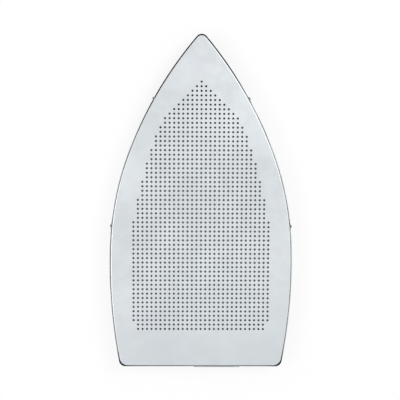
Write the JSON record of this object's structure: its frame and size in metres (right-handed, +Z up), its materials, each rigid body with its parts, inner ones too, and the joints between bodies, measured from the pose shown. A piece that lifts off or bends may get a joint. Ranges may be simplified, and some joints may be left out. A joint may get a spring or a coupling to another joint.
{
  "type": "iron shoe cover",
  "caption": "Perforated slip-on sole cover for a steam iron, a boat-shaped plate set in a shallow stepped metal rim that grips the iron from below.",
  "frame": {"origin": "centre of the bounding box in X and Y, at the turned-in edge that the cover rests on", "axes": "+Y from the heel to the nose, +X to the right seen from above, +Z up through the ironing face"},
  "size_m": [0.1294, 0.2354, 0.0125],
  "materials": {
    "rim": "plain rolled strip, satin, tarnished darker at the nose and the heel corners",
    "sole": "pale satin anodised sheet, smooth, cool grey",
    "clip": "spring strip, plain rolled"
  },
  "bodies": {
    "root": {"rim_band": "rim", "sole_plate": "sole", "heel_clip": "clip"}
  },
  "joints": []
}
